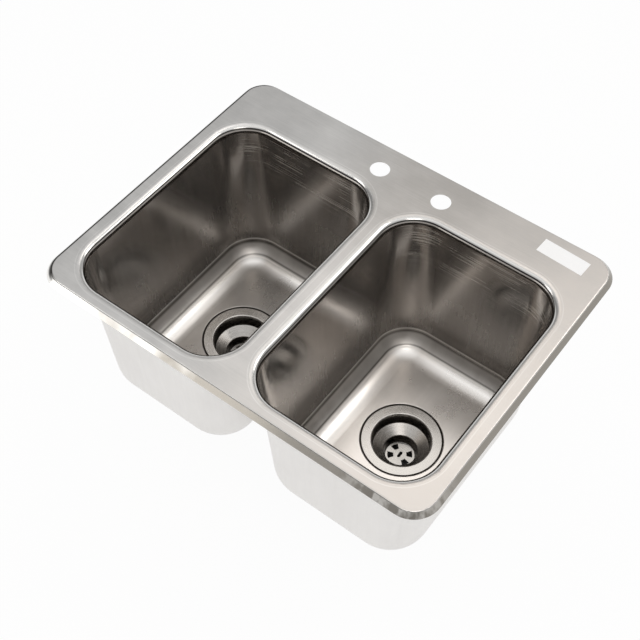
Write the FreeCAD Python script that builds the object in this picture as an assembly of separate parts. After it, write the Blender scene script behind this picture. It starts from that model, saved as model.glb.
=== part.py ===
import FreeCAD, Part
import math
import os

Vector = FreeCAD.Vector

# Drop-in double-bowl kitchen sink. Origin: plan centre of the rim, on the counter's top face.
# +X is to the user's right, +Y to the rear (the tap side), +Z up. Lengths are in millimetres.

# Angles in degrees
sixth_turn = 60
quarter_turn = 90
full_turn = 360

# Sheet metal, rim and deck: the ledges are the deck's widths between bowls and outer edge
side_ledge = 32.7
front_ledge = 28.95
rear_ledge = 86.95
divider_width = 36.2
sheet_thickness = 1.2
rim_height = 8.2
rim_spread = 6.5
rim_bend_radius = 3.0
rim_corner_radius = 38.0

# Bowls
bowl_length = 254.0
bowl_width = 354.0
bowl_depth = 254.0
bowl_corner_radius = 54.0
bowl_wall_draft = 11.0
bowl_floor_corner_radius = 58.0
bowl_floor_radius = 48.0
bowl_lip_radius = 10.5
bowl_lip_drop = 12.0
bowl_lip_flat = 1.0

# Tap holes, with the share of the rear deck's flat width that lies in front of them
tap_hole_spacing = 101.6
tap_hole_radius = 14.3
tap_hole_place_share = 0.3876

# Blank label on the rear right of the deck
label_length = 69.0
label_width = 24.5
label_thickness = 0.15
label_corner_radius = 0.8
label_from_right = 71.8
label_from_rear = 33.4
label_tilt = -2.5

# Drain opening in each bowl floor
drain_outward = 1.5
drain_rearward = 7.2
drain_hole_radius = 44.45
recess_depth = 2.2
recess_floor_radius = 58.8
recess_top_radius = 60.2
recess_bend_radius = 1.3
recess_outer_radius = 62.0

# Strainer body: radii from its axis, depths below the bowl floor
strainer_wall = 1.2
strainer_flange_radius = 57.15
strainer_flange_drop = 1.0
strainer_mouth_radius = 42.5
strainer_mouth_bend = 2.4
strainer_seat_radius = 41.2
strainer_seat_depth = 22.0
strainer_seat_bend = 1.0
strainer_throat_radius = 24.4
strainer_throat_depth = 30.5
strainer_throat_bend = 2.0
strainer_thread_radius = 43.9
strainer_thread_depth = 25.5
outlet_ledge_depth = 44.0
outlet_ledge_radius = 21.3
outlet_bore_radius = 18.2
outlet_thread_radius = 23.75
outlet_thread_top_depth = 39.0
outlet_depth = 58.0

# Strainer grid
grid_thickness = 1.0
grid_clearance = 0.3
grid_slot_inner_radius = 9.5
grid_slot_outer_radius = 19.0
grid_slot_half_angle = 18
grid_slot_angles = (38, 152, 218, 332)
grid_centre_slot_length = 11.0
grid_centre_slot_width = 4.6

# Gasket, friction ring and lock nut
thread_clearance = 0.07
ring_clearance = 0.35
gasket_outer_radius = 57.0
gasket_thickness = 3.0
friction_ring_outer_radius = 54.0
friction_ring_thickness = 1.6
lock_nut_outer_radius = 49.0
lock_nut_flange_radius = 54.0
lock_nut_flange_thickness = 2.5
lock_nut_height = 10.0
lock_nut_lug_width = 8.0
lock_nut_lug_count = 6

# Tailpiece and coupling nut
tailpiece_radius = 19.05
tailpiece_wall = 1.1
tailpiece_length = 101.6
tailpiece_flange_radius = 23.0
tailpiece_flange_thickness = 1.5
tailpiece_washer_thickness = 2.0
coupling_nut_across_flats = 55.0
coupling_nut_height = 16.0
coupling_nut_lip = 2.5
coupling_nut_chamfer = 1.6
coupling_lip_clearance = 0.65

# Hold-down clips
channel_width = 12.0
channel_height = 8.0
channel_wall = 1.2
channel_lip_gap = 1.22
channel_rim_gap = 5.5
clip_clearance = 0.1
slot_clearance = 0.3
bolt_radius = 2.5
bolt_end_depth = 36.0
bolt_end_chamfer = 0.6
bolt_head_length = 8.0
bolt_head_width = 9.0
bolt_head_thickness = 2.5
bolt_head_margin = 1.8
jaw_thickness = 2.0
jaw_width = 12.0
jaw_heel = 9.0
jaw_heel_radius = 5.0
jaw_reach = 28.0
jaw_tooth_height = 3.0
jaw_tooth_count = 3
jaw_top_depth = 4.0
clip_washer_radius = 5.0
clip_washer_thickness = 1.0
clip_nut_across_flats = 8.0
clip_nut_height = 4.0
clip_nut_chamfer = 0.5

# One overrun serves every cutting tool
overrun = 1.0

# Levels and places worked out from the sizes above
deck_top = rim_height
deck_bottom = deck_top - sheet_thickness
floor_top = deck_top - bowl_depth
floor_bottom = floor_top - sheet_thickness
overall_length = 2 * (bowl_length + side_ledge) + divider_width
overall_width = bowl_width + front_ledge + rear_ledge
rim_axis_x = overall_length / 2 - rim_corner_radius
rim_axis_y = overall_width / 2 - rim_corner_radius
bowl_axis_x = bowl_length / 2 - bowl_corner_radius
bowl_axis_y = bowl_width / 2 - bowl_corner_radius
bowl_centre_x = (divider_width + bowl_length) / 2
bowl_centre_y = (front_ledge - rear_ledge) / 2
wall_slope = math.atan2(bowl_depth, bowl_wall_draft)
lip_reach = bowl_lip_radius * math.tan(wall_slope / 2)
lip_bottom = deck_top - bowl_lip_drop
lip_inset = bowl_wall_draft * bowl_lip_drop / bowl_depth
opening_radius = bowl_corner_radius + lip_reach + bowl_lip_flat
rear_flat_start = bowl_centre_y + bowl_axis_y + opening_radius
rear_flat_end = overall_width / 2 - rim_spread
tap_hole_y = rear_flat_start + tap_hole_place_share * (rear_flat_end - rear_flat_start)
drain_centre_x = bowl_centre_x + drain_outward
drain_centre_y = bowl_centre_y + drain_rearward
recess_bottom = -recess_depth - sheet_thickness
gasket_bottom = recess_bottom - gasket_thickness
friction_ring_bottom = gasket_bottom - friction_ring_thickness
tailpiece_top = -outlet_depth - tailpiece_washer_thickness
coupling_nut_bottom = tailpiece_top - tailpiece_flange_thickness - coupling_nut_lip
channel_bottom = deck_bottom - channel_height

# Clip channels fill the front corners between lip and rim, reaching out from the rim's corner axis
diagonal = Vector(1, 1, 0) / math.sqrt(2)
lip_offset = Vector(bowl_centre_x + bowl_axis_x - rim_axis_x, bowl_axis_y - bowl_centre_y - rim_axis_y, 0)
lip_along = lip_offset.dot(diagonal)
lip_aside = (lip_offset - diagonal * lip_along).Length
lip_end_reach = lip_along + math.sqrt(opening_radius ** 2 - lip_aside ** 2)
channel_start_reach = lip_end_reach + channel_lip_gap
channel_length = rim_corner_radius - rim_spread - channel_rim_gap - channel_start_reach
clip_travel = channel_length - 2 * (channel_wall + bolt_head_margin) - bolt_head_length
clip_rest_reach = channel_start_reach + (channel_length - clip_travel) / 2
washer_top_depth = jaw_top_depth + jaw_thickness
nut_top_depth = washer_top_depth + clip_washer_thickness

sides = {"left": -1, "right": 1}
clip_stations = {
    "front_left": (-1, -1),
    "front_middle": (0, -1),
    "front_right": (1, -1),
    "rear_left": (-1, 1),
    "rear_middle": (0, 1),
    "rear_right": (1, 1),
}


# General shapes

def section_point(across, up):
    """A point of a section drawn in the XZ plane."""
    return Vector(across, 0, up)


def unit(vector):
    """A copy of a vector with its length made 1."""
    return vector / vector.Length


def bent_line(points, radii):
    """Edges along a line whose corners are rounded, with one radius for each corner."""
    edges = []
    start = points[0]
    for before, corner, after, radius in zip(points, points[1:], points[2:], radii):
        inward = unit(corner - before)
        onward = unit(after - corner)
        turn = inward.getAngle(onward)
        reach = radius * math.tan(turn / 2)
        first = corner - inward * reach
        last = corner + onward * reach
        middle = corner + unit(onward - inward) * (radius / math.cos(turn / 2) - radius)
        edges.append(Part.LineSegment(start, first).toShape())
        edges.append(Part.Arc(first, middle, last).toShape())
        start = last
    edges.append(Part.LineSegment(start, points[-1]).toShape())
    return edges


def right_hand(direction):
    """The direction at a quarter turn to the right of another, in the XZ plane."""
    return Vector(direction.z, 0, -direction.x)


def line_beside(points, distance):
    """Corners of the line that runs a set distance to the right of a bent line."""
    directions = [unit(after - before) for before, after in zip(points, points[1:])]
    beside = [points[0] + right_hand(directions[0]) * distance]
    for corner, inward, onward in zip(points[1:], directions, directions[1:]):
        middle = unit(right_hand(inward) + right_hand(onward))
        beside.append(corner + middle * (distance / middle.dot(right_hand(inward))))
    beside.append(points[-1] + right_hand(directions[-1]) * distance)
    return beside


def radii_beside(points, radii, distance):
    """Corner radii of the line to the right: larger where the line turns left, else smaller."""
    beside = []
    for before, corner, after, radius in zip(points, points[1:], points[2:], radii):
        turns_left = right_hand(corner - before).dot(after - corner) < 0
        beside.append(radius + distance if turns_left else radius - distance)
    return beside


def sheet_section(points, radii, thickness, level_end=False):
    """Section of a bent sheet: the visible line, with its thickness to the right if positive."""
    back = line_beside(points, thickness)
    if level_end:
        run = unit(back[-1] - back[-2])
        back[-1] = back[-1] + run * ((points[-1].z - back[-1].z) / run.z)
    edges = bent_line(points, radii)
    edges += bent_line(back, radii_beside(points, radii, thickness))
    edges.append(Part.LineSegment(points[0], back[0]).toShape())
    edges.append(Part.LineSegment(points[-1], back[-1]).toShape())
    return Part.Face(Part.Wire(Part.sortEdges(edges)[0]))


def polygon_section(points):
    """Section with straight sides through the points."""
    return Part.Face(Part.makePolygon(points + [points[0]]))


def spun(section):
    """Solid of revolution of a section about the Z axis."""
    return section.revolve(Vector(0, 0, 0), Vector(0, 0, 1), full_turn)


def placed(shape, angle, x, y):
    """Copy of a shape turned about the Z axis and moved in plan."""
    copy = shape.copy()
    copy.rotate(Vector(0, 0, 0), Vector(0, 0, 1), angle)
    copy.translate(Vector(x, y, 0))
    return copy


def carried_round(section, axis_x, axis_y):
    """Pieces made by carrying a section round a rectangle, turned about its corner axes."""
    corners = ((axis_x, axis_y), (-axis_x, axis_y), (-axis_x, -axis_y), (axis_x, -axis_y))
    pieces = []
    for step, (x, y) in enumerate(corners):
        next_x, next_y = corners[(step + 1) % len(corners)]
        angle = step * quarter_turn
        start = placed(section, angle, x, y)
        pieces.append(start.revolve(Vector(x, y, 0), Vector(0, 0, 1), quarter_turn))
        end = placed(section, angle + quarter_turn, x, y)
        pieces.append(end.extrude(Vector(next_x - x, next_y - y, 0)))
    return pieces


def centred_box(length, width, low, high):
    """Box centred on the Z axis, between two levels."""
    return Part.makeBox(length, width, high - low, Vector(-length / 2, -width / 2, low))


def cylinder(radius, low, high):
    """Upright cylinder on the Z axis, between two levels."""
    return Part.makeCylinder(radius, high - low, Vector(0, 0, low))


def ring(inner_radius, outer_radius, low, high):
    """Upright ring on the Z axis, between two levels."""
    return cylinder(outer_radius, low, high).cut(cylinder(inner_radius, low - overrun, high + overrun))


def round_rectangle(length, width, radius, low, high):
    """Prism on a rectangle with rounded corners, centred on the Z axis."""
    box = centred_box(length, width, low, high)
    upright = [edge for edge in box.Edges if edge.tangentAt(edge.FirstParameter).z != 0]
    return box.makeFillet(radius, upright)


def hexagon(across_flats, low, high, chamfer):
    """Hexagonal prism with its corners chamfered, as on a nut."""
    corner_radius = across_flats / 2 / math.cos(math.radians(sixth_turn / 2))
    corners = []
    for step in range(full_turn // sixth_turn):
        angle = math.radians(step * sixth_turn)
        corners.append(Vector(corner_radius * math.cos(angle), corner_radius * math.sin(angle), low))
    prism = Part.Face(Part.makePolygon(corners + [corners[0]])).extrude(Vector(0, 0, high - low))
    round_bar = cylinder(corner_radius, low, high)
    rims = [edge for edge in round_bar.Edges if edge.Closed]
    return prism.common(round_bar.makeChamfer(chamfer, rims))


def joined(pieces):
    """One solid from pieces that share faces or overlap."""
    return pieces[0].multiFuse(pieces[1:]).removeSplitter()


# Deck and bowls

def make_sheet():
    """Flat sheet with a sloped rim that ends on the counter."""
    line = [
        section_point(0, deck_top),
        section_point(rim_corner_radius - rim_spread, deck_top),
        section_point(rim_corner_radius, 0),
    ]
    section = sheet_section(line, [rim_bend_radius], sheet_thickness, level_end=True)
    pieces = carried_round(section, rim_axis_x, rim_axis_y)
    pieces.append(centred_box(2 * rim_axis_x, 2 * rim_axis_y, deck_bottom, deck_top))
    return joined(pieces)


def make_lip():
    """Rolled lip of a bowl opening, turned down from the sheet and centred on the Z axis."""
    line = [
        section_point(opening_radius, deck_top),
        section_point(bowl_corner_radius, deck_top),
        section_point(bowl_corner_radius - lip_inset, lip_bottom),
    ]
    section = sheet_section(line, [bowl_lip_radius], -sheet_thickness, level_end=True)
    return joined(carried_round(section, bowl_axis_x, bowl_axis_y))


def make_deck():
    """The sheet with two tap holes, and two openings whose lips turn down to meet the bowls."""
    deck = make_sheet()
    lip = make_lip()
    low = deck_bottom - overrun
    high = deck_top + overrun
    opening = round_rectangle(2 * (bowl_axis_x + opening_radius), 2 * (bowl_axis_y + opening_radius),
                              opening_radius, low, high)
    lips = []
    for side in sides.values():
        deck = deck.cut(placed(opening, 0, side * bowl_centre_x, bowl_centre_y))
        deck = deck.cut(placed(cylinder(tap_hole_radius, low, high), 0,
                               side * tap_hole_spacing / 2, tap_hole_y))
        lips.append(placed(lip, 0, side * bowl_centre_x, bowl_centre_y))
    return joined([deck] + lips)


def round_outline(length, width, radius, level):
    """Outline of a level rectangle with rounded corners, centred on the Z axis."""
    slab = round_rectangle(length, width, radius, level, level + overrun)
    return min(slab.Faces, key=lambda face: face.BoundBox.ZMax).OuterWire


def tapered_block(spread):
    """The space inside a bowl below its lip, spread sideways and downwards by a wall thickness."""
    side = spread / math.sin(wall_slope)
    top = round_outline(bowl_length - 2 * lip_inset + 2 * side, bowl_width - 2 * lip_inset + 2 * side,
                        bowl_corner_radius - lip_inset + side, lip_bottom)
    bottom = round_outline(bowl_length - 2 * bowl_wall_draft + 2 * side,
                           bowl_width - 2 * bowl_wall_draft + 2 * side,
                           bowl_floor_corner_radius + side, floor_top - spread)
    block = Part.makeLoft([bottom, top], True, True)
    low_edges = [edge for edge in block.Edges if edge.BoundBox.ZMax < lip_bottom - overrun]
    return block.makeFillet(bowl_floor_radius + spread, low_edges)


def make_bowl():
    """Drawn bowl, centred on the Z axis and with the drain still to be cut."""
    return tapered_block(sheet_thickness).cut(tapered_block(0))


def make_recess():
    """Pressed seat round the drain hole, on the drain's axis, at its level in the bowl floor."""
    line = [
        section_point(drain_hole_radius, floor_top - recess_depth),
        section_point(recess_floor_radius, floor_top - recess_depth),
        section_point(recess_top_radius, floor_top),
        section_point(recess_outer_radius, floor_top),
    ]
    radii = [recess_bend_radius, recess_bend_radius]
    return spun(sheet_section(line, radii, sheet_thickness))


def drained_bowl(side):
    """One bowl with its recessed drain hole, in its place under the lip that it is welded to."""
    bowl = placed(make_bowl(), 0, side * bowl_centre_x, bowl_centre_y)
    drain_x = side * drain_centre_x
    floor_cut = cylinder(recess_outer_radius, floor_bottom - overrun, floor_top + overrun)
    bowl = bowl.cut(placed(floor_cut, 0, drain_x, drain_centre_y))
    return joined([bowl, placed(make_recess(), 0, drain_x, drain_centre_y)])


def make_label():
    """Blank label that lies on the deck."""
    label = round_rectangle(label_length, label_width, label_corner_radius,
                            deck_top, deck_top + label_thickness)
    return placed(label, label_tilt, overall_length / 2 - label_from_right,
                  overall_width / 2 - label_from_rear)


# Strainer parts: drawn on the Z axis, with the bowl floor at height zero

def make_strainer_body():
    """Flange, cup, cone and throat of bent sheet, with a threaded sleeve and a threaded outlet."""
    flange_bottom = -strainer_flange_drop - strainer_wall
    line = [
        section_point(outlet_ledge_radius, -outlet_ledge_depth),
        section_point(strainer_throat_radius, -strainer_throat_depth),
        section_point(strainer_seat_radius, -strainer_seat_depth),
        section_point(strainer_mouth_radius, -strainer_flange_drop),
        section_point(strainer_flange_radius, -strainer_flange_drop),
    ]
    radii = [strainer_throat_bend, strainer_seat_bend, strainer_mouth_bend]
    cup = spun(sheet_section(line, radii, strainer_wall))
    inside_wall = strainer_wall / 2
    sleeve = spun(polygon_section([
        section_point(strainer_mouth_radius + inside_wall, flange_bottom),
        section_point(strainer_thread_radius, flange_bottom),
        section_point(strainer_thread_radius, -strainer_thread_depth),
        section_point(strainer_seat_radius, -strainer_thread_depth),
        section_point(strainer_seat_radius, -strainer_seat_depth - inside_wall),
        section_point(strainer_seat_radius + inside_wall, -strainer_seat_depth),
    ]))
    rise_share = ((outlet_ledge_depth - outlet_thread_top_depth)
                  / (outlet_ledge_depth - strainer_throat_depth))
    throat_spread = strainer_throat_radius - outlet_ledge_radius
    outlet = spun(polygon_section([
        section_point(outlet_bore_radius, -outlet_depth),
        section_point(outlet_thread_radius, -outlet_depth),
        section_point(outlet_thread_radius, -outlet_thread_top_depth),
        section_point(outlet_ledge_radius + throat_spread * rise_share + inside_wall,
                      -outlet_thread_top_depth),
        section_point(outlet_ledge_radius, -outlet_ledge_depth),
        section_point(outlet_bore_radius, -outlet_ledge_depth),
    ]))
    return joined([cup, sleeve, outlet])


def sector(inner_radius, outer_radius, half_angle, middle_angle, low, high):
    """Prism on a sector of a ring, for one slot of the grid."""
    def at(radius, angle):
        turn = math.radians(angle)
        return Vector(radius * math.cos(turn), radius * math.sin(turn), low)
    first = middle_angle - half_angle
    last = middle_angle + half_angle
    edges = [
        Part.Arc(at(inner_radius, first), at(inner_radius, middle_angle),
                 at(inner_radius, last)).toShape(),
        Part.Arc(at(outer_radius, first), at(outer_radius, middle_angle),
                 at(outer_radius, last)).toShape(),
        Part.LineSegment(at(inner_radius, first), at(outer_radius, first)).toShape(),
        Part.LineSegment(at(inner_radius, last), at(outer_radius, last)).toShape(),
    ]
    face = Part.Face(Part.Wire(Part.sortEdges(edges)[0]))
    return face.extrude(Vector(0, 0, high - low))


def make_grid():
    """Slotted plate that lies on the outlet's ledge: four sectors and a centre slot along Y."""
    low = -outlet_ledge_depth
    high = low + grid_thickness
    grid = cylinder(outlet_ledge_radius - grid_clearance, low, high)
    for angle in grid_slot_angles:
        grid = grid.cut(sector(grid_slot_inner_radius, grid_slot_outer_radius, grid_slot_half_angle,
                               angle, low - overrun, high + overrun))
    end_radius = grid_centre_slot_width / 2
    slot = centred_box(grid_centre_slot_width, grid_centre_slot_length - grid_centre_slot_width,
                       low - overrun, high + overrun)
    grid = grid.cut(slot)
    for end in sides.values():
        centre_y = end * (grid_centre_slot_length - grid_centre_slot_width) / 2
        grid = grid.cut(placed(cylinder(end_radius, low - overrun, high + overrun), 0, 0, centre_y))
    return grid


def make_gasket():
    """Rubber ring under the bowl floor."""
    return ring(strainer_thread_radius + ring_clearance, gasket_outer_radius,
                gasket_bottom, recess_bottom)


def make_friction_ring():
    """Thin ring that lets the lock nut turn without dragging the gasket."""
    return ring(strainer_thread_radius + ring_clearance, friction_ring_outer_radius,
                friction_ring_bottom, gasket_bottom)


def make_lock_nut():
    """Large ring nut with a flange and lugs for a spanner."""
    low = friction_ring_bottom - lock_nut_height
    bore = cylinder(strainer_thread_radius + thread_clearance, low - overrun,
                    friction_ring_bottom + overrun)
    pieces = [cylinder(lock_nut_outer_radius, low, friction_ring_bottom)]
    pieces.append(cylinder(lock_nut_flange_radius, friction_ring_bottom - lock_nut_flange_thickness,
                           friction_ring_bottom))
    lug = Part.makeBox(lock_nut_flange_radius, lock_nut_lug_width, lock_nut_height,
                       Vector(0, -lock_nut_lug_width / 2, low))
    for step in range(lock_nut_lug_count):
        pieces.append(placed(lug, step * full_turn / lock_nut_lug_count, 0, 0))
    return joined(pieces).cut(bore)


def make_tailpiece_washer():
    """Washer between the outlet and the tailpiece's flange."""
    return ring(tailpiece_radius, tailpiece_flange_radius, tailpiece_top, -outlet_depth)


def make_tailpiece():
    """Outlet tube with a flange at its top."""
    tube = cylinder(tailpiece_radius, tailpiece_top - tailpiece_length, tailpiece_top)
    flange = cylinder(tailpiece_flange_radius, tailpiece_top - tailpiece_flange_thickness,
                      tailpiece_top)
    bore = cylinder(tailpiece_radius - tailpiece_wall, tailpiece_top - tailpiece_length - overrun,
                    tailpiece_top + overrun)
    return joined([tube, flange]).cut(bore)


def make_coupling_nut():
    """Hexagonal nut on the outlet's thread, with a lip under the tailpiece's flange."""
    high = coupling_nut_bottom + coupling_nut_height
    nut = hexagon(coupling_nut_across_flats, coupling_nut_bottom, high, coupling_nut_chamfer)
    nut = nut.cut(cylinder(outlet_thread_radius + thread_clearance,
                           coupling_nut_bottom + coupling_nut_lip, high + overrun))
    return nut.cut(cylinder(tailpiece_radius + coupling_lip_clearance,
                            coupling_nut_bottom - overrun, high + overrun))


# Clip parts: drawn with the bolt on the Z axis and outward along +X, the jaw stowed along -Y

def make_clip_channel():
    """Slotted box channel, spot-welded to the deck by its web."""
    inner_end = clip_travel / 2 - channel_length / 2
    channel = Part.makeBox(channel_length, channel_width, channel_height,
                           Vector(inner_end, -channel_width / 2, channel_bottom))
    hollow = Part.makeBox(channel_length - 2 * channel_wall, channel_width - 2 * channel_wall,
                          channel_height - 2 * channel_wall,
                          Vector(inner_end + channel_wall, channel_wall - channel_width / 2,
                                 channel_bottom + channel_wall))
    slot_radius = bolt_radius + slot_clearance
    low = channel_bottom - overrun
    high = channel_bottom + 2 * channel_wall
    slot = Part.makeBox(clip_travel, 2 * slot_radius, high - low, Vector(0, -slot_radius, low))
    channel = channel.cut(hollow).cut(slot)
    for end_x in (0, clip_travel):
        channel = channel.cut(placed(cylinder(slot_radius, low, high), 0, end_x, 0))
    return channel


def make_clip_bolt():
    """T-bolt: a flat head that slides in the channel, and a threaded shank."""
    head_low = channel_bottom + channel_wall + clip_clearance
    head = centred_box(bolt_head_length, bolt_head_width, head_low, head_low + bolt_head_thickness)
    shank = cylinder(bolt_radius, -bolt_end_depth, head_low)
    tip = [edge for edge in shank.Edges if edge.Closed and edge.BoundBox.ZMax < head_low]
    return joined([head, shank.makeChamfer(bolt_end_chamfer, tip)])


def make_clip_jaw():
    """Flat stamped jaw with a row of upturned teeth at its tip."""
    low = -jaw_top_depth - jaw_thickness
    plate = Part.makeBox(jaw_width, jaw_reach + jaw_heel, jaw_thickness,
                         Vector(-jaw_width / 2, -jaw_reach, low))
    heel_edges = [edge for edge in plate.Edges
                  if edge.BoundBox.YMin > 0 and edge.tangentAt(edge.FirstParameter).z != 0]
    plate = plate.makeFillet(jaw_heel_radius, heel_edges)
    upturn = Part.makeBox(jaw_width, jaw_thickness, jaw_thickness + jaw_tooth_height,
                          Vector(-jaw_width / 2, -jaw_reach, low))
    jaw = joined([plate, upturn])
    pitch = jaw_width / jaw_tooth_count
    for gap in range(jaw_tooth_count + 1):
        middle = gap * pitch - jaw_width / 2
        notch = Part.Face(Part.makePolygon([
            Vector(middle, -jaw_reach - overrun, -jaw_top_depth + jaw_tooth_height / 2),
            Vector(middle - pitch / 2, -jaw_reach - overrun, -jaw_top_depth + jaw_tooth_height),
            Vector(middle + pitch / 2, -jaw_reach - overrun, -jaw_top_depth + jaw_tooth_height),
            Vector(middle, -jaw_reach - overrun, -jaw_top_depth + jaw_tooth_height / 2),
        ]))
        jaw = jaw.cut(notch.extrude(Vector(0, jaw_thickness + 2 * overrun, 0)))
    return jaw.cut(cylinder(bolt_radius + clip_clearance, low - overrun, overrun))


def make_clip_washer():
    """Plain washer between jaw and nut."""
    return ring(bolt_radius + clip_clearance, clip_washer_radius, -nut_top_depth, -washer_top_depth)


def make_clip_nut():
    """Hexagonal nut on the bolt."""
    low = -nut_top_depth - clip_nut_height
    nut = hexagon(clip_nut_across_flats, low, -nut_top_depth, clip_nut_chamfer)
    return nut.cut(cylinder(bolt_radius + thread_clearance, low - overrun, overrun - nut_top_depth))


# The whole sink

def strainer_nodes(side_name, side):
    """The parts of one strainer, in their places."""
    makers = {
        "strainer_body": make_strainer_body,
        "strainer_grid": make_grid,
        "strainer_gasket": make_gasket,
        "friction_ring": make_friction_ring,
        "lock_nut": make_lock_nut,
        "tailpiece_washer": make_tailpiece_washer,
        "tailpiece": make_tailpiece,
        "coupling_nut": make_coupling_nut,
    }
    nodes = {}
    for name, maker in makers.items():
        shape = placed(maker(), 0, side * drain_centre_x, drain_centre_y)
        shape.translate(Vector(0, 0, floor_top))
        nodes[side_name + "_" + name] = shape
    return nodes


def clip_nodes(station, side_x, side_y):
    """The parts of one hold-down clip, in their places: the clip points along its side's diagonal."""
    outward = unit(Vector(side_x, side_y, 0))
    angle = math.degrees(math.atan2(outward.y, outward.x))
    x = side_x * rim_axis_x + outward.x * clip_rest_reach
    y = side_y * rim_axis_y + outward.y * clip_rest_reach
    makers = {
        "clip_channel": make_clip_channel,
        "clip_bolt": make_clip_bolt,
        "clip_jaw": make_clip_jaw,
        "clip_washer": make_clip_washer,
        "clip_nut": make_clip_nut,
    }
    return {station + "_" + name: placed(maker(), angle, x, y) for name, maker in makers.items()}


def all_nodes():
    """Every sub-part of the sink, by name."""
    nodes = {"deck": make_deck(), "blank_label": make_label()}
    for side_name, side in sides.items():
        nodes[side_name + "_bowl"] = drained_bowl(side)
        nodes.update(strainer_nodes(side_name, side))
    for station, (side_x, side_y) in clip_stations.items():
        nodes.update(clip_nodes(station, side_x, side_y))
    return nodes


os.makedirs("parts", exist_ok=True)
for node, shape in all_nodes().items():
    shape.exportStep("parts/" + node + ".step")
    print(node, len(shape.Solids), shape.isValid(), round(shape.Volume))
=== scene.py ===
import math

import bpy
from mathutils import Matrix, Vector


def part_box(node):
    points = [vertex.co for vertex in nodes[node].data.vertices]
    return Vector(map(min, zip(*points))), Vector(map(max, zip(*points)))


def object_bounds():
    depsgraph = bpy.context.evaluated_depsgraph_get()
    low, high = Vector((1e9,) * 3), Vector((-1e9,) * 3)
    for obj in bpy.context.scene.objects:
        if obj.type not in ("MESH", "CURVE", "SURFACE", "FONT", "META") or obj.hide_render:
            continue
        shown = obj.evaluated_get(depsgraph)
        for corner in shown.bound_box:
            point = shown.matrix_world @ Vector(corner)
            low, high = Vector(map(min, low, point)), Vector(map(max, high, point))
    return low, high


# A drop-in stainless sink, seen from the front right and above. Lengths are in metres.

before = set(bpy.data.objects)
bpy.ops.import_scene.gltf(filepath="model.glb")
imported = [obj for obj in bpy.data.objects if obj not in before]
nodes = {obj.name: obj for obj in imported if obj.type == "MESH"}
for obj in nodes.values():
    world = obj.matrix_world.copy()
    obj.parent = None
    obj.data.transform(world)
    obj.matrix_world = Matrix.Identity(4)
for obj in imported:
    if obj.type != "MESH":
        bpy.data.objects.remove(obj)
cad_low, cad_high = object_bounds()

# Camera
camera_place = Vector((0.5690, -0.7738, 1.2022))
camera_azimuth = 37.046
camera_elevation = 53.658
camera_lens = 66.14
camera_sensor = 36.0
right_angle = 90.0

# Studio floor
studio_floor_size = 12.0
studio_floor_grey = 0.9
studio_floor_white_share = 0.95

# The dome: its level overhead, on its bright and dark sides, and near the floor, and where they change
dome_colour = (1.0, 1.0, 1.0)
dome_overhead = 1.1
dome_bright_side = 0.55
dome_dark_side = 0.13
dome_low = 0.3
dome_bright_way = (0.35, 0.94, 0.0)
dome_dark_to_bright = (-1.0, 1.0)
dome_overhead_heights = (0.55, 0.95)
dome_low_heights = (0.15, 0.45)
backdrop_grey = 0.99
backdrop_heights = (0.22, 0.36)

# Each lamp is a soft panel: the direction that it stands in, its distance, sides, level and colour
lamps = {
    "overhead_box": ((-0.18, 0.45, 0.875), 1.8, (0.5, 0.6), 1.4, (1.0, 0.95, 0.90)),
    "rear_right_box": ((0.39, 0.56, 0.73), 1.8, (0.7, 0.7), 2.8, (1.0, 0.97, 0.94)),
    "left_box": ((-0.64, -0.29, 0.71), 1.8, (0.6, 0.6), 2.0, (1.0, 0.97, 0.94)),
    "front_right_box": ((0.45, -0.40, 0.80), 1.8, (0.7, 0.7), 2.4, (1.0, 0.96, 0.92)),
    "front_card": ((-0.57, -0.81, 0.10), 1.5, (1.1, 0.5), 1.2, (1.0, 0.99, 0.97)),
}

# In the values below, depths are below the deck's top, and rises are above the bowl's floor. Two limits are
# where a fade starts and ends, and two shares are how strong it is there. Three limits are a line's edge,
# middle and edge, and four are where a band starts, is full, starts to fade and ends. Tones are a darker
# and a paler colour, and roughness goes from the one to the other. A grain is its cycles per metre along
# each axis, its detail, and how strong the detail is.

# What all the materials share
metal = 1.0
not_metal = 0.0
tone_contrast = (0.35, 0.65)
roughness_contrast = (0.3, 0.7)
noise_middle = 0.5

# Deck
deck_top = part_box("deck")[1].z
deck_tones = ((0.50, 0.495, 0.485), (0.67, 0.66, 0.645))
deck_roughness = (0.30, 0.40)
deck_brushing = ((9.0, 1400.0, 40.0), 5.0, 0.7)
deck_clouds = ((11.0, 18.0, 14.0), 5.0, 0.6)
deck_cloud_share = 0.6
brushing_relief = 0.0000015

# Painted light: the deck's right side warmer and paler
painted_light_side = (-0.10, 0.26)
painted_light_tone = (0.62, 0.578, 0.538)
painted_light_cloud_range = (0.3, 0.6)
painted_light_cloud_shares = (0.6, 1.0)

# The deck darker round the tap holes
tap_darkening_place = (0.06, 0.186, deck_top)
tap_darkening_reach = (0.05, 0.20)
tap_darkening_tone = (0.42, 0.400, 0.378)
darkening_cloud_range = (0.35, 0.6)
darkening_cloud_shares = (1.0, 0.55)

# Rolled lips of the bowls, the painted shade line under them and the painted highlight lines round them
opening_inset = 0.0007
opening_radius = 0.054
lip_reach = 0.0145
rolled_depths = (0.0002, 0.0010)
rolled_tones = ((0.60, 0.59, 0.575), (0.70, 0.69, 0.67))
rolled_roughness = (0.14, 0.21)
# Painted highlights: pale lines round each lip
lip_highlight_offsets = (0.0118, 0.0128, 0.0137)
lip_highlight_tone = (0.93, 0.92, 0.90)
lip_highlight_shares = (0.10, 0.42)
# Painted shade: a dark line where the lip turns down into the wall
lip_shade_depths = (0.0026, 0.0032, 0.0038, 0.0046)
lip_inside_depths = lip_shade_depths[2:]
lip_shade_tone = (0.05, 0.045, 0.04)

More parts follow.
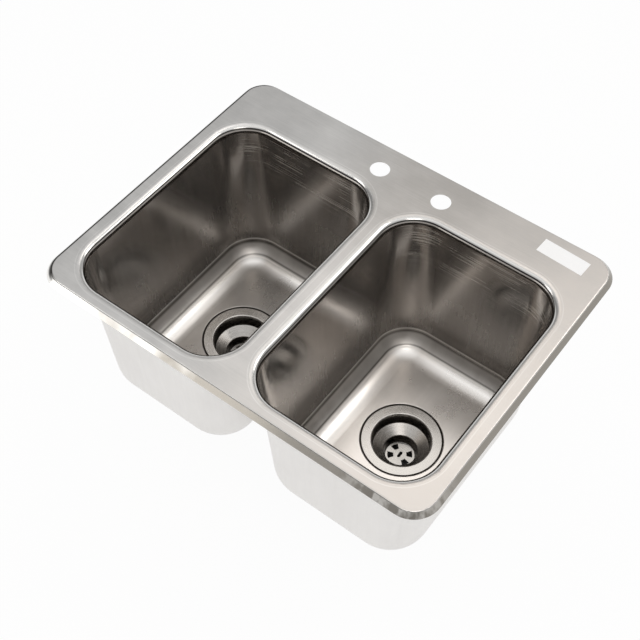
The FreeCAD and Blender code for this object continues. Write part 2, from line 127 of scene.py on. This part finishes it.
# Turned-down rim, with painted light: pale at the front left
# Painted highlight: a pale line along the top of the rim
rim_highlight_depths = (0.0001, 0.0003, 0.0008)
rim_band_depths = (0.0006, 0.0014)
rim_painted_light_tones = ((0.30, 0.280, 0.250), (0.86, 0.845, 0.82))
rim_painted_light_side = (-0.27, -0.02)
rim_streaks = ((14.0, 14.0, 3.0), 3.0, 0.55)
rim_streak_reach = 0.5

# Painted shade at the front right corner of the rim, in streaks
rim_shade_place = (0.262, -0.228, deck_top)
rim_shade_reach = (0.030, 0.085)
rim_shade_shares = (0.7, 0.0)
rim_shade_tones = ((0.17, 0.157, 0.140), (0.55, 0.535, 0.51))
rim_shade_streaks = ((75.0, 75.0, 20.0), 2.0, 0.55)
rim_shade_contrast = (0.42, 0.58)

# Painted shade: a dark line along the rim's left side
rim_corner_radius = 0.038
rim_left_side = (-0.285, -0.270)
rim_left_line = (-0.0092, -0.0080)
rim_left_depths = (0.0030, 0.0055)
rim_left_shade_tone = (0.04, 0.038, 0.035)

# Bowl walls and floors
bowl_metallic = 0.85
recess_drop = 0.0034
floor_finish_rises = (0.026, 0.032)
wall_polish_rises = (0.120, 0.200)
wall_tones = ((0.29, 0.268, 0.247), (0.36, 0.337, 0.315))
# Painted light: the right bowl's floor paler than the left one's
painted_light_floor_tones = {
    "left_bowl": ((0.40, 0.380, 0.358), (0.48, 0.458, 0.435)),
    "right_bowl": ((0.64, 0.608, 0.575), (0.74, 0.705, 0.670)),
}
outside_tones = ((0.82, 0.802, 0.782), (0.88, 0.864, 0.846))
wall_roughness = (0.10, 0.16)
worn_wall_roughness = (0.23, 0.30)
floor_roughness = (0.25, 0.34)
outside_roughness = (0.42, 0.55)
bowl_clouds = ((16.0, 16.0, 11.0), 4.0, 0.6)
bowl_streaks = ((160.0, 160.0, 9.0), 2.0, 0.55)
floor_brushing = ((130.0, 5.0, 5.0), 1.0, 0.55)
wall_cloud_share = 0.65
floor_cloud_share = 0.85
bowl_waves = ((9.0, 9.0, 5.0), 1.0, 0.55)
wave_relief = 0.00005

# The bowl's fillet and the lines round its foot
fillet_rises = (0.0080, 0.0120, 0.0220, 0.0262)
# The fillet's paler tone: partly its duller rubbed finish, partly a painted highlight
fillet_tones = ((0.60, 0.573, 0.545), (0.76, 0.732, 0.70))
fillet_roughness = (0.36, 0.46)
# Painted highlight: a pale ring round the floor's edge
highlight_ring_rises = (0.0004, 0.0038, 0.0075)
highlight_ring_tone = (0.92, 0.895, 0.865)
# Pale lines at the creases: partly polish lines, partly painted highlights
foot_crease_rises = (0.0285, 0.0300, 0.0316)
fillet_crease_rises = (0.0064, 0.0076, 0.0088)
crease_tone = (0.90, 0.87, 0.83)
crease_roughness = 0.55
foot_shade_rises = (0.0232, 0.0262, 0.0290)
fillet_shade_rises = (0.0086, 0.0097, 0.0112)
crease_shade_share = 0.8
crease_shade_tone = (0.10, 0.09, 0.08)
# The groove round the strainer darker: partly putty, partly painted shade
groove_rises = (-0.0010, -0.0005)
groove_tone = (0.035, 0.030, 0.026)

# Level scratches near the top of the rear walls
scratch_depths = (0.010, 0.014, 0.050, 0.095)
scratch_wall_band = (0.026, 0.014)
scratch_lines = ((3.0, 3.0, 760.0), 1.0, 0.55)
scratch_line_contrast = (0.54, 0.62)
scratch_patches = ((22.0, 22.0, 30.0), 4.0, 0.55)
scratch_patch_contrast = (0.40, 0.60)
scratch_tone = (0.80, 0.765, 0.72)
scratch_roughness = 0.42

# The scratches, groove, painted highlights and painted shades on a bowl's inside, from the first laid on to
# the last
bowl_marks_and_painted_light = {
    "ring": highlight_ring_tone,
    "scratches": scratch_tone,
    "shades": crease_shade_tone,
    "creases": crease_tone,
    "groove": groove_tone,
}

# Strainers. Their depths are below the flange's top, and the cone is where the surface looks upwards.
# Painted shade in the cup and drain, lighter on the cone where it looks upwards
cup_depths = (0.0035, 0.0050)
cup_shade_tones = ((0.07, 0.064, 0.058), (0.13, 0.121, 0.111))
cone_upward_parts = (0.30, 0.55)
cone_lighter_shade_tones = ((0.32, 0.307, 0.29), (0.46, 0.444, 0.424))
drain_shade_depths = (0.0435, 0.0455)
drain_shade_tone = (0.02, 0.018, 0.016)

# Turned pieces. In their rings' grain the first axis is the way out from the piece's axis, and the second
# is the height.
turned_anisotropy = 0.55
turned_rings = ((700.0, 700.0, 1.0), 2.0, 0.6)
turned_clouds = ((45.0, 45.0, 45.0), 4.0, 0.55)
turned_cloud_share = 0.6
turning_relief = 0.000004
flange_tones = ((0.43, 0.415, 0.395), (0.53, 0.513, 0.490))
grid_tones = ((0.38, 0.368, 0.35), (0.52, 0.506, 0.485))
chrome_tones = ((0.36, 0.36, 0.37), (0.50, 0.50, 0.51))

# By the end of the nodes' names: the material's name, its tones and roughness, and what its inner side is
turned_finishes = {
    "strainer_body": ("strainer_turned_steel", flange_tones, (0.22, 0.32), "cup"),
    "strainer_grid": ("grid_bright_steel", grid_tones, (0.22, 0.34), "plain"),
    "tailpiece": ("tailpiece_chrome", chrome_tones, (0.18, 0.25), "bore"),
}

# Pieces with an even grain
fine_grain_detail = 5.0
fine_grain_strength = 0.65
grained_clouds = ((60.0, 60.0, 60.0), 3.0, 0.55)
grained_cloud_share = 0.5
grain_relief = 0.00006
zinc_tones = ((0.50, 0.51, 0.52), (0.66, 0.67, 0.68))
cast_tones = ((0.46, 0.46, 0.46), (0.60, 0.60, 0.60))
rubber_tones = ((0.012, 0.012, 0.012), (0.035, 0.034, 0.033))
fibre_tones = ((0.22, 0.13, 0.07), (0.42, 0.29, 0.18))
plastic_tones = ((0.78, 0.78, 0.76), (0.86, 0.86, 0.84))
label_tones = ((0.955, 0.955, 0.955), (0.985, 0.985, 0.985))
plated_zinc = (zinc_tones, (0.26, 0.4), 900.0, 0.1, metal)

# By the end of the nodes' names: the material's name, its tones and roughness, its grain's cycles per
# metre, its share of the grain's relief, and whether it is metal
grained_finishes = {
    "coupling_nut": ("coupling_nut_chrome", chrome_tones, (0.08, 0.16), 500.0, 0.03, metal),
    "lock_nut": ("lock_nut_casting", cast_tones, (0.42, 0.58), 900.0, 0.35, metal),
    "gasket": ("gasket_rubber", rubber_tones, (0.55, 0.75), 1400.0, 0.3, not_metal),
    "friction_ring": ("ring_fibre", fibre_tones, (0.7, 0.9), 1800.0, 0.4, not_metal),
    "tailpiece_washer": ("washer_plastic", plastic_tones, (0.4, 0.5), 700.0, 0.1, not_metal),
    "blank_label": ("label_film", label_tones, (0.35, 0.45), 400.0, 0.03, not_metal),
    "clip_channel": ("channel_steel", deck_tones, (0.34, 0.46), 700.0, 0.12, metal),
    "clip_jaw": ("jaw_zinc", zinc_tones, (0.34, 0.5), 800.0, 0.15, metal),
    "clip_bolt": ("clip_bolt_zinc", *plated_zinc),
    "clip_washer": ("clip_washer_zinc", *plated_zinc),
    "clip_nut": ("clip_nut_zinc", *plated_zinc),
}


# Node helpers

def connect(tree, value, socket):
    """Gives a socket its value, or links it to another socket."""
    if isinstance(value, bpy.types.NodeSocket):
        tree.links.new(value, socket)
    else:
        socket.default_value = value


def new_tree(name):
    """A new material's node tree with nothing in it but its output."""
    material = bpy.data.materials.new(name)
    material.use_nodes = True
    tree = material.node_tree
    tree.nodes.clear()
    tree.nodes.new("ShaderNodeOutputMaterial").name = "output"
    return material, tree


def position(tree):
    """The place of a point in the sink's own frame."""
    return tree.nodes.new("ShaderNodeTexCoord").outputs["Object"]


def face_normal(tree):
    """The way that a face looks."""
    return tree.nodes.new("ShaderNodeNewGeometry").outputs["True Normal"]


def calculate(tree, operation, *values):
    """One arithmetic step."""
    node = tree.nodes.new("ShaderNodeMath")
    node.operation = operation
    for value, socket in zip(values, node.inputs):
        connect(tree, value, socket)
    return node.outputs["Value"]


def vector_step(tree, operation, result, *values):
    """One step of vector arithmetic, with the name of the output that it gives."""
    node = tree.nodes.new("ShaderNodeVectorMath")
    node.operation = operation
    for value, socket in zip(values, node.inputs):
        connect(tree, value, socket)
    return node.outputs[result]


def split(tree, vector):
    """The three parts of a vector."""
    node = tree.nodes.new("ShaderNodeSeparateXYZ")
    tree.links.new(vector, node.inputs["Vector"])
    return node.outputs


def flattened(tree, vector):
    """A vector without its height."""
    return vector_step(tree, "MULTIPLY", "Vector", vector, (1.0, 1.0, 0.0))


def times(tree, *values):
    """The product of several values."""
    product = values[0]
    for value in values[1:]:
        product = calculate(tree, "MULTIPLY", product, value)
    return product


def between(tree, share, first, second):
    """A number between two others."""
    return calculate(tree, "ADD", times(tree, calculate(tree, "SUBTRACT", 1.0, share), first),
                     times(tree, share, second))


def ranged(tree, value, source, target):
    """A value carried from one range into another, and held within it."""
    node = tree.nodes.new("ShaderNodeMapRange")
    connect(tree, value, node.inputs["Value"])
    for name, limit in zip(("From Min", "From Max", "To Min", "To Max"), (*source, *target)):
        connect(tree, limit, node.inputs[name])
    return node.outputs["Result"]


def fade_in(tree, value, limits):
    """0 up to the first limit and 1 from the second."""
    return ranged(tree, value, limits, (0.0, 1.0))


def fade_out(tree, value, limits):
    """1 up to the first limit and 0 from the second."""
    return ranged(tree, value, limits, (1.0, 0.0))


def thin_line(tree, value, start, middle, end):
    """1 at its middle, and 0 from its start and end outwards."""
    return calculate(tree, "MINIMUM", fade_in(tree, value, (start, middle)),
                     fade_out(tree, value, (middle, end)))


def wide_band(tree, value, start, full, fading, end):
    """1 between the two middle limits, and 0 from its start and end outwards."""
    return times(tree, fade_in(tree, value, (start, full)), fade_out(tree, value, (fading, end)))


def blended(tree, share, first, second):
    """A colour between two others."""
    node = tree.nodes.new("ShaderNodeMix")
    node.data_type = "RGBA"
    connect(tree, share, node.inputs["Factor"])
    for value, name in ((first, "A"), (second, "B")):
        socket = next(s for s in node.inputs if s.name == name and s.type == "RGBA")
        connect(tree, value if isinstance(value, bpy.types.NodeSocket) else (*value, 1.0), socket)
    return next(s for s in node.outputs if s.type == "RGBA")


def noise(tree, place, grain):
    """Noise over a place, of a grain."""
    cycles, detail, strength = grain
    node = tree.nodes.new("ShaderNodeTexNoise")
    connect(tree, vector_step(tree, "MULTIPLY", "Vector", place, cycles), node.inputs["Vector"])
    node.inputs["Scale"].default_value = 1.0
    node.inputs["Detail"].default_value = detail
    node.inputs["Roughness"].default_value = strength
    return node.outputs["Fac"]


def beyond_outline(tree, place, low, high, corner):
    """How far a place lies outside a box's round-cornered outline, seen from above."""
    centre = (low + high) / 2
    core = (high - low) / 2
    offset = vector_step(tree, "SUBTRACT", "Vector", place, (centre.x, centre.y, 0.0))
    folded = vector_step(tree, "ABSOLUTE", "Vector", offset)
    past = vector_step(tree, "SUBTRACT", "Vector", folded, (core.x - corner, core.y - corner, 0.0))
    past = vector_step(tree, "MAXIMUM", "Vector", past, (0.0, 0.0, 0.0))
    return calculate(tree, "SUBTRACT", vector_step(tree, "LENGTH", "Value", flattened(tree, past)), corner)


def relief(tree, height, depth):
    """A bump from a height between 0 and 1, as deep as depth says."""
    node = tree.nodes.new("ShaderNodeBump")
    connect(tree, height, node.inputs["Height"])
    node.inputs["Distance"].default_value = depth
    return node.outputs["Normal"]


def toned(tree, tone, tones):
    """The colour that a noise gives between a darker and a paler tone."""
    return blended(tree, fade_in(tree, tone, tone_contrast), *tones)


def roughened(tree, tone, limits):
    """The roughness that a noise gives within its limits."""
    return ranged(tree, tone, roughness_contrast, limits)


def surface(tree, colour, roughness, normal, metallic):
    """The shader and its link to the output."""
    shader = tree.nodes.new("ShaderNodeBsdfPrincipled")
    connect(tree, colour, shader.inputs["Base Color"])
    connect(tree, roughness, shader.inputs["Roughness"])
    connect(tree, normal, shader.inputs["Normal"])
    shader.inputs["Metallic"].default_value = metallic
    tree.links.new(shader.outputs["BSDF"], tree.nodes["output"].inputs["Surface"])
    return shader


def ending(suffix):
    """The names of the CAD nodes that end in a word."""
    return [name for name in nodes if name.endswith(suffix)]


# Deck

def deck_tone(tree, place, tone):
    """The flat sheet's colour: darker round the tap holes, and warmer and paler to the right as painted
    light.
    """
    # Painted light: warmer and paler towards the right
    painted_light = times(tree, fade_in(tree, split(tree, place)["X"], painted_light_side),
                   ranged(tree, tone, painted_light_cloud_range, painted_light_cloud_shares))
    colour = blended(tree, painted_light, toned(tree, tone, deck_tones), painted_light_tone)
    from_taps = vector_step(tree, "DISTANCE", "Value", place, tap_darkening_place)
    darkening = times(tree, fade_out(tree, from_taps, tap_darkening_reach),
                  ranged(tree, tone, darkening_cloud_range, darkening_cloud_shares))
    return blended(tree, darkening, colour, tap_darkening_tone)


def rim_colour(tree, place):
    """The turned-down rim's colour: streaked, with painted light at the front left and painted shade at one
    corner.
    """
    streaks = calculate(tree, "SUBTRACT", noise(tree, place, rim_streaks), noise_middle)
    along = calculate(tree, "ADD", split(tree, place)["X"], times(tree, streaks, rim_streak_reach))
    colour = blended(tree, fade_out(tree, along, rim_painted_light_side), *rim_painted_light_tones)
    shade_streaks = fade_in(tree, noise(tree, place, rim_shade_streaks), rim_shade_contrast)
    from_corner = vector_step(tree, "DISTANCE", "Value", place, rim_shade_place)
    at_corner = ranged(tree, from_corner, rim_shade_reach, rim_shade_shares)
    return blended(tree, at_corner, colour, blended(tree, shade_streaks, *rim_shade_tones))


def rim_left_shade(tree, place, depth):
    """Painted shade: the dark line along the top of the left rim, where the sheet starts to turn down."""
    beyond = beyond_outline(tree, place, *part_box("deck"), rim_corner_radius)
    return times(tree, fade_in(tree, beyond, rim_left_line), fade_out(tree, depth, rim_left_depths),
                 fade_out(tree, split(tree, place)["X"], rim_left_side))


def beyond_openings(tree, place):
    """How far a place lies outside the nearer bowl's opening."""
    beyond = [beyond_outline(tree, place, *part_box(name), opening_radius + opening_inset)
              for name in ending("_bowl")]
    return calculate(tree, "ADD", calculate(tree, "MINIMUM", *beyond), opening_inset)


def painted_highlight_lines(tree, tone, beyond, depth, on_rim):
    """Painted highlights: the pale lines round each bowl's lip and along the top of the rim."""
    line = calculate(tree, "MAXIMUM", thin_line(tree, beyond, *lip_highlight_offsets),
                     times(tree, thin_line(tree, depth, *rim_highlight_depths), on_rim))
    return times(tree, line, ranged(tree, tone, tone_contrast, lip_highlight_shares))


def lip_inside(tree, tone, colour, depth, near_bowl):
    """Adds the bowl's own tone low on the lip, and a painted shade line above it."""
    inner = times(tree, fade_in(tree, depth, lip_inside_depths), near_bowl)
    colour = blended(tree, inner, colour, toned(tree, tone, wall_tones))
    shade_line = times(tree, wide_band(tree, depth, *lip_shade_depths), near_bowl)
    return blended(tree, shade_line, colour, lip_shade_tone)


def deck_steel():
    """Satin sheet brushed along its length, polished over the lips and rim, with painted highlight and
    shade lines.
    """
    material, tree = new_tree("deck_satin_steel")
    place = position(tree)
    brushing = noise(tree, place, deck_brushing)
    tone = between(tree, deck_cloud_share, brushing, noise(tree, place, deck_clouds))
    depth = calculate(tree, "SUBTRACT", deck_top, split(tree, place)["Z"])
    beyond = beyond_openings(tree, place)
    near_bowl = calculate(tree, "LESS_THAN", beyond, lip_reach)
    on_rim = calculate(tree, "SUBTRACT", 1.0, near_bowl)
    rolled = fade_in(tree, depth, rolled_depths)
    colour = blended(tree, rolled, deck_tone(tree, place, tone), toned(tree, tone, rolled_tones))
    # The rim's colour, with its painted light and shade
    rim_band = times(tree, fade_in(tree, depth, rim_band_depths), on_rim)
    colour = blended(tree, rim_band, colour, rim_colour(tree, place))
    # Painted highlights round the lips and along the top of the rim
    colour = blended(tree, painted_highlight_lines(tree, tone, beyond, depth, on_rim), colour, lip_highlight_tone)
    # Painted shade along the left rim
    colour = blended(tree, rim_left_shade(tree, place, depth), colour, rim_left_shade_tone)
    # Painted shade line under each lip
    colour = lip_inside(tree, tone, colour, depth, near_bowl)
    roughness = between(tree, rolled, roughened(tree, tone, deck_roughness),
                        roughened(tree, tone, rolled_roughness))
    surface(tree, colour, roughness, relief(tree, brushing, brushing_relief), metal)
    return material


# Bowls

def scratch_mask(tree, place, depth, back):
    """Thin level scratches in patches near the top of the rear wall."""
    lines = fade_in(tree, noise(tree, place, scratch_lines), scratch_line_contrast)
    patches = fade_in(tree, noise(tree, place, scratch_patches), scratch_patch_contrast)
    far, near = scratch_wall_band
    rear = fade_in(tree, split(tree, place)["Y"], (back - far, back - near))
    return times(tree, lines, patches, wide_band(tree, depth, *scratch_depths), rear)


def bowl_zones(tree, place, rise, back):
    """Where each finish, mark, painted highlight and painted shade of a bowl's inside lies, from 0 to 1."""
    depth = calculate(tree, "SUBTRACT", deck_top, split(tree, place)["Z"])
    shades = calculate(tree, "MAXIMUM", thin_line(tree, rise, *foot_shade_rises),
                       thin_line(tree, rise, *fillet_shade_rises))
    creases = calculate(tree, "MAXIMUM", thin_line(tree, rise, *foot_crease_rises),
                        thin_line(tree, rise, *fillet_crease_rises))
    return {
        "floor": fade_out(tree, rise, floor_finish_rises),
        "fillet": wide_band(tree, rise, *fillet_rises),
        "ring": thin_line(tree, rise, *highlight_ring_rises),
        "scratches": scratch_mask(tree, place, depth, back),
        "shades": times(tree, shades, crease_shade_share),
        "creases": creases,
        "groove": fade_out(tree, rise, groove_rises),
    }


def bowl_tone(tree, place, floor):
    """The noise that tones a bowl: streaks on the walls, brushing on the floor, clouds on both."""
    rubbing = between(tree, floor, noise(tree, place, bowl_streaks), noise(tree, place, floor_brushing))
    cloud_share = between(tree, floor, wall_cloud_share, floor_cloud_share)
    return between(tree, cloud_share, rubbing, noise(tree, place, bowl_clouds))


def bowl_inside_colour(tree, tone, zones, own_painted_floor_tones):
    """Dark walls, a paler floor and a pale fillet between them, under the scratches, groove, painted
    highlights and painted shades.
    """
    walls = toned(tree, tone, wall_tones)
    colour = blended(tree, zones["floor"], walls, toned(tree, tone, own_painted_floor_tones))
    colour = blended(tree, zones["fillet"], colour, toned(tree, tone, fillet_tones))
    # Lays on the scratches, the groove and the painted highlights and shades
    for zone, overlay_tone in bowl_marks_and_painted_light.items():
        colour = blended(tree, zones[zone], colour, overlay_tone)
    return colour


def bowl_inside_roughness(tree, tone, rise, zones):
    """Polished high on the walls, and duller lower down, on the floor and fillet and at the marks."""
    polish = fade_in(tree, rise, wall_polish_rises)
    roughness = between(tree, polish, roughened(tree, tone, worn_wall_roughness),
                        roughened(tree, tone, wall_roughness))
    roughness = between(tree, zones["floor"], roughness, roughened(tree, tone, floor_roughness))
    roughness = between(tree, zones["fillet"], roughness, roughened(tree, tone, fillet_roughness))
    roughness = between(tree, zones["scratches"], roughness, scratch_roughness)
    return between(tree, zones["creases"], roughness, crease_roughness)


def outer_skin(tree, place, low, high):
    """1 on the faces that look away from the middle of a box, and 0 on the others."""
    outward = vector_step(tree, "SUBTRACT", "Vector", place, tuple((low + high) / 2))
    facing = vector_step(tree, "DOT_PRODUCT", "Value", outward, face_normal(tree))
    return calculate(tree, "GREATER_THAN", facing, 0.0)


def bowl_steel(low, high, own_painted_floor_tones):
    """Drawn bowl: polished walls over a satin floor, and a pale dull skin outside."""
    material, tree = new_tree("bowl_drawn_steel")
    place = position(tree)
    rise = calculate(tree, "SUBTRACT", split(tree, place)["Z"], low.z + recess_drop)
    zones = bowl_zones(tree, place, rise, high.y)
    tone = bowl_tone(tree, place, zones["floor"])
    outside = outer_skin(tree, place, low, high)
    colour = blended(tree, outside, bowl_inside_colour(tree, tone, zones, own_painted_floor_tones),
                     toned(tree, tone, outside_tones))
    roughness = between(tree, outside, bowl_inside_roughness(tree, tone, rise, zones),
                        roughened(tree, tone, outside_roughness))
    waves = noise(tree, place, bowl_waves)
    surface(tree, colour, roughness, relief(tree, waves, wave_relief), bowl_metallic)
    return material


# Strainers and fixings

def strainer_inside(tree, tone, colour, depth, normal, inward):
    """Adds painted shade to a strainer's inner side: a dark cup, the paler cone in it and a dark drain."""
    on_cone = fade_in(tree, split(tree, normal)["Z"], cone_upward_parts)
    lower = blended(tree, on_cone, toned(tree, tone, cup_shade_tones), toned(tree, tone, cone_lighter_shade_tones))
    cup = times(tree, fade_in(tree, depth, cup_depths), inward)
    colour = blended(tree, cup, colour, lower)
    drain_shade = times(tree, fade_in(tree, depth, drain_shade_depths), inward)
    return blended(tree, drain_shade, colour, drain_shade_tone)


def turned_steel(name, tones, roughness_range, low, high, inner_side):
    """Steel with fine rings about its axis, as a lathe leaves them."""
    material, tree = new_tree(name)
    place = position(tree)
    level = split(tree, place)["Z"]
    centre = (low + high) / 2
    from_axis = flattened(tree, vector_step(tree, "SUBTRACT", "Vector", place, (centre.x, centre.y, 0.0)))
    rings_place = tree.nodes.new("ShaderNodeCombineXYZ")
    tree.links.new(vector_step(tree, "LENGTH", "Value", from_axis), rings_place.inputs["X"])
    tree.links.new(level, rings_place.inputs["Y"])
    rings = noise(tree, rings_place.outputs["Vector"], turned_rings)
    tone = between(tree, turned_cloud_share, rings, noise(tree, place, turned_clouds))
    colour = toned(tree, tone, tones)
    normal = face_normal(tree)
    facing = vector_step(tree, "DOT_PRODUCT", "Value", from_axis, normal)
    inward = calculate(tree, "LESS_THAN", facing, 0.0)
    if inner_side == "cup":
        depth = calculate(tree, "SUBTRACT", high.z, level)
        colour = strainer_inside(tree, tone, colour, depth, normal, inward)
    # Painted shade inside the bore
    if inner_side == "bore":
        colour = blended(tree, inward, colour, drain_shade_tone)
    shader = surface(tree, colour, roughened(tree, tone, roughness_range),
                     relief(tree, rings, turning_relief), metal)
    shader.inputs["Anisotropic"].default_value = turned_anisotropy
    around = vector_step(tree, "CROSS_PRODUCT", "Vector", (0.0, 0.0, 1.0), from_axis)
    tree.links.new(vector_step(tree, "NORMALIZE", "Vector", around), shader.inputs["Tangent"])
    return material


def grained(name, tones, roughness_range, cycles, relief_share, metallic):
    """A material with an even grain, for castings, plated parts, rubber, fibre and plastic."""
    material, tree = new_tree(name)
    place = position(tree)
    fine = noise(tree, place, ((cycles, cycles, cycles), fine_grain_detail, fine_grain_strength))
    tone = between(tree, grained_cloud_share, fine, noise(tree, place, grained_clouds))
    surface(tree, toned(tree, tone, tones), roughened(tree, tone, roughness_range),
            relief(tree, fine, grain_relief * relief_share), metallic)
    return material


def wear(node_names, material):
    """Gives the named CAD nodes one material."""
    for name in node_names:
        mesh = nodes[name].data
        mesh.materials.clear()
        mesh.materials.append(material)


def dress():
    """Every CAD node gets its material."""
    wear(["deck"], deck_steel())
    for name in ending("_bowl"):
        wear([name], bowl_steel(*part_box(name), painted_light_floor_tones[name]))
    for suffix, (material_name, tones, roughness_range, inner_side) in turned_finishes.items():
        for name in ending(suffix):
            wear([name], turned_steel(material_name, tones, roughness_range, *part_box(name), inner_side))
    for suffix, finish in grained_finishes.items():
        wear(ending(suffix), grained(*finish))


# Studio

def make_floor():
    """Plain pale floor under the sink: white to the camera and in the metal, with a soft shadow."""
    half = studio_floor_size / 2
    level = cad_low.z
    mesh = bpy.data.meshes.new("studio_floor")
    corners = [(-half, -half, level), (half, -half, level), (half, half, level), (-half, half, level)]
    mesh.from_pydata(corners, [], [(0, 1, 2, 3)])
    floor = bpy.data.objects.new("studio_floor", mesh)
    bpy.context.scene.collection.objects.link(floor)
    material, tree = new_tree("studio_floor_white")
    diffuse = tree.nodes.new("ShaderNodeBsdfDiffuse")
    diffuse.inputs["Color"].default_value = (studio_floor_grey, studio_floor_grey, studio_floor_grey, 1.0)
    white = tree.nodes.new("ShaderNodeEmission")
    path = tree.nodes.new("ShaderNodeLightPath")
    seen = calculate(tree, "MAXIMUM", path.outputs["Is Camera Ray"], path.outputs["Is Glossy Ray"])
    seen = calculate(tree, "MAXIMUM", seen, path.outputs["Is Transmission Ray"])
    mix = tree.nodes.new("ShaderNodeMixShader")
    white_share, grey_shader, white_shader = mix.inputs
    connect(tree, times(tree, seen, studio_floor_white_share), white_share)
    tree.links.new(diffuse.outputs["BSDF"], grey_shader)
    tree.links.new(white.outputs["Emission"], white_shader)
    tree.links.new(mix.outputs["Shader"], tree.nodes["output"].inputs["Surface"])
    mesh.materials.append(material)


def make_world():
    """A dome that is palest overhead, darker to one side and near the floor, and pale to the camera."""
    world = bpy.data.worlds.new("studio")
    world.use_nodes = True
    tree = world.node_tree
    background = tree.nodes["Background"]
    background.inputs["Color"].default_value = (*dome_colour, 1.0)
    way = tree.nodes.new("ShaderNodeTexCoord").outputs["Generated"]
    height = split(tree, way)["Z"]
    bright_way = tuple(Vector(dome_bright_way).normalized())
    facing = vector_step(tree, "DOT_PRODUCT", "Value", way, bright_way)
    sides = ranged(tree, facing, dome_dark_to_bright, (dome_dark_side, dome_bright_side))
    lower = between(tree, fade_in(tree, height, dome_low_heights), dome_low, sides)
    overhead = fade_in(tree, height, dome_overhead_heights)
    overhead.node.interpolation_type = "SMOOTHSTEP"
    level = between(tree, overhead, lower, dome_overhead)
    path = tree.nodes.new("ShaderNodeLightPath")
    mirrored = calculate(tree, "MAXIMUM", path.outputs["Is Glossy Ray"],
                         path.outputs["Is Transmission Ray"])
    near_floor = fade_out(tree, height, backdrop_heights)
    seen = calculate(tree, "MAXIMUM", path.outputs["Is Camera Ray"], times(tree, mirrored, near_floor))
    tree.links.new(between(tree, seen, level, backdrop_grey), background.inputs["Strength"])
    bpy.context.scene.world = world


def make_lamps():
    """Soft panels that face the sink."""
    aim = (cad_low + cad_high) / 2
    aim.z = 0.0
    for name, (direction, distance, (width, length), level, colour) in lamps.items():
        light = bpy.data.lights.new(name, "AREA")
        light.shape = "RECTANGLE"
        light.size = width
        light.size_y = length
        light.energy = level * math.pi * width * length
        light.color = colour
        lamp = bpy.data.objects.new(name, light)
        towards = Vector(direction).normalized()
        lamp.location = aim + towards * distance
        lamp.rotation_mode = "QUATERNION"
        lamp.rotation_quaternion = towards.to_track_quat("Z", "Y")
        bpy.context.scene.collection.objects.link(lamp)


def make_camera():
    """The photograph's viewpoint."""
    data = bpy.data.cameras.new("camera")
    data.lens = camera_lens
    data.sensor_width = camera_sensor
    camera = bpy.data.objects.new("camera", data)
    camera.location = camera_place
    camera.rotation_euler = (math.radians(right_angle - camera_elevation), 0.0,
                             math.radians(camera_azimuth))
    bpy.context.scene.collection.objects.link(camera)
    bpy.context.scene.camera = camera


make_camera()
make_world()
make_floor()
make_lamps()
dress()

bpy.context.scene.view_settings.view_transform = "Standard"
